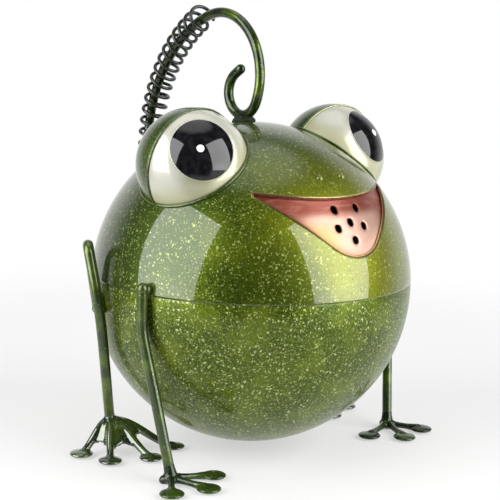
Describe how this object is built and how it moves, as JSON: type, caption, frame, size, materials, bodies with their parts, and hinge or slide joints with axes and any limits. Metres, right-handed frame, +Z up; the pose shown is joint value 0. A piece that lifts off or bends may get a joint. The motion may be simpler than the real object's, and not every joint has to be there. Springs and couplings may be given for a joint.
{
  "type": "watering can",
  "caption": "Small painted metal watering can with a ball body in the shape of a frog: the mouth is the sprinkling rose, and a bent rod with a loose spring grip is the handle.",
  "frame": {"origin": "centre of the bounding box's footprint, on the ground", "axes": "+Z up; the frog looks along -Y; +X is the frog's left"},
  "size_m": [0.215, 0.2066, 0.2605],
  "materials": {
    "shell_upper": "gloss",
    "shell_lower": "gloss",
    "rose_copper": "gloss",
    "rod_green": "gloss",
    "wire_dark": "gloss",
    "eye_green": "gloss",
    "eye_cream": "gloss",
    "pupil_black": "gloss",
    "foot_green": "gloss"
  },
  "bodies": {
    "can": {"upper_shell": "shell_upper", "lower_bowl": "shell_lower", "mouth_rose": "rose_copper", "filler_rim": "rod_green", "handle_rod": "rod_green", "eye_back_right": "eye_green", "eye_front_right": "eye_cream", "pupil_right": "pupil_black", "nostril_right": "shell_upper", "front_leg_right": "rod_green", "rear_leg_right": "rod_green", "front_foot_right": "foot_green", "rear_foot_right": "foot_green", "eye_back_left": "eye_green", "eye_front_left": "eye_cream", "pupil_left": "pupil_black", "nostril_left": "shell_upper", "front_leg_left": "rod_green", "rear_leg_left": "rod_green", "front_foot_left": "foot_green", "rear_foot_left": "foot_green"},
    "grip": {"grip_spring": "wire_dark"}
  },
  "joints": [
    {"name": "grip_slide", "type": "hinge", "parent": "can", "child": "grip", "pos_m": [0, 0.00837, 0.16839], "axis": [1, 0, 0], "range_deg": [0, 8]}
  ]
}
